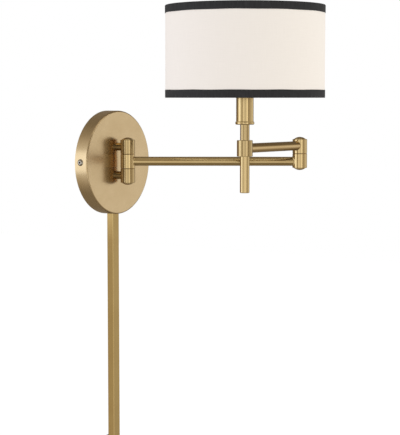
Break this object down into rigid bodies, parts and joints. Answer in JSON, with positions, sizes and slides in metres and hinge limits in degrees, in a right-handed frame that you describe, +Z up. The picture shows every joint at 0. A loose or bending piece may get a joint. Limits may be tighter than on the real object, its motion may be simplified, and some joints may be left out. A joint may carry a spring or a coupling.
{
  "type": "swing arm wall sconce",
  "caption": "Wall light with a round backplate, a three-knuckle hinge, two swinging arms, a candle stem with a drum shade, and a straight cord cover.",
  "frame": {"origin": "middle of the bracket's two screw slots, on the wall plane, which is also the middle of the backplate", "axes": "+Z up; +Y into the wall, so the lamp stands out towards -Y; +X along the wall"},
  "size_m": [0.2412, 0.3251, 0.5905],
  "materials": {
    "satin_brass": "satin, fine brushed, clear lacquer",
    "zinc_steel": "zinc plated",
    "nickel_screw": "nickel plated",
    "nylon": "moulded nylon",
    "black_phenolic": "moulded phenolic",
    "black_rubber": "soft moulded",
    "cable_jacket": "soft PVC jacket",
    "lead_jacket": "soft PVC jacket",
    "connector_plastic": "moulded plastic",
    "contact_brass": "bright",
    "white_fabric": "fine woven, laminated",
    "black_trim": "woven tape",
    "white_wire": "white enamel",
    "frosted_glass": "frosted",
    "bulb_metal": "bright"
  },
  "bodies": {
    "wall_plate": {"backplate": "satin_brass", "mounting_bracket": "zinc_steel", "side_screws": "nickel_screw", "hinge_posts": "satin_brass", "post_washers": "zinc_steel", "post_nuts": "zinc_steel", "wall_knuckle_upper": "satin_brass", "wall_knuckle_lower": "satin_brass", "wall_cap_upper": "satin_brass", "wall_cap_lower": "satin_brass", "wall_spring_washers": "zinc_steel", "wall_thrust_washers": "nylon", "plate_cable": "cable_jacket", "plate_leads": "lead_jacket", "wire_connectors": "connector_plastic", "cord_cover": "satin_brass", "cover_clip": "zinc_steel", "cord_bushing": "black_rubber"},
    "arm_1": {"wall_knuckle_middle": "satin_brass", "wall_pivots": "zinc_steel", "arm_1_tube": "satin_brass", "elbow_knuckle_lower": "satin_brass", "elbow_pivot": "zinc_steel", "elbow_lock_nut": "zinc_steel", "elbow_cap_lower": "satin_brass", "arm_1_cable": "cable_jacket"},
    "arm_2": {"elbow_knuckle_upper": "satin_brass", "elbow_spring_washer": "zinc_steel", "elbow_thrust_washer": "nylon", "elbow_cap_upper": "satin_brass", "arm_2_tube": "satin_brass", "stem_collar": "satin_brass", "lamp_pipe": "zinc_steel", "stem_upper": "satin_brass", "stem_tail": "satin_brass", "candle_ring": "satin_brass", "pipe_nut": "zinc_steel", "candle_sleeve": "satin_brass", "socket_body": "black_phenolic", "socket_shell": "contact_brass", "socket_contact": "contact_brass", "shade_ring_nut": "black_phenolic", "bulb_base": "bulb_metal", "bulb_glass": "frosted_glass", "shade_hub": "white_wire", "shade_arms": "white_wire", "shade_ring_bottom": "white_wire", "shade_ring_top": "white_wire", "shade_drum": "white_fabric", "shade_trim_top": "black_trim", "shade_trim_bottom": "black_trim", "arm_2_cable": "cable_jacket"}
  },
  "joints": [
    {"name": "wall_hinge", "type": "hinge", "parent": "wall_plate", "child": "arm_1", "pos_m": [0, -0.035, 0.002], "axis": [0, 0, 1], "range_deg": [-123.2, 56.8]},
    {"name": "elbow_hinge", "type": "hinge", "parent": "arm_1", "child": "arm_2", "pos_m": [0.12704, -0.22913, 0.0126], "axis": [0, 0, 1], "range_deg": [-44.3, 295.7]}
  ]
}
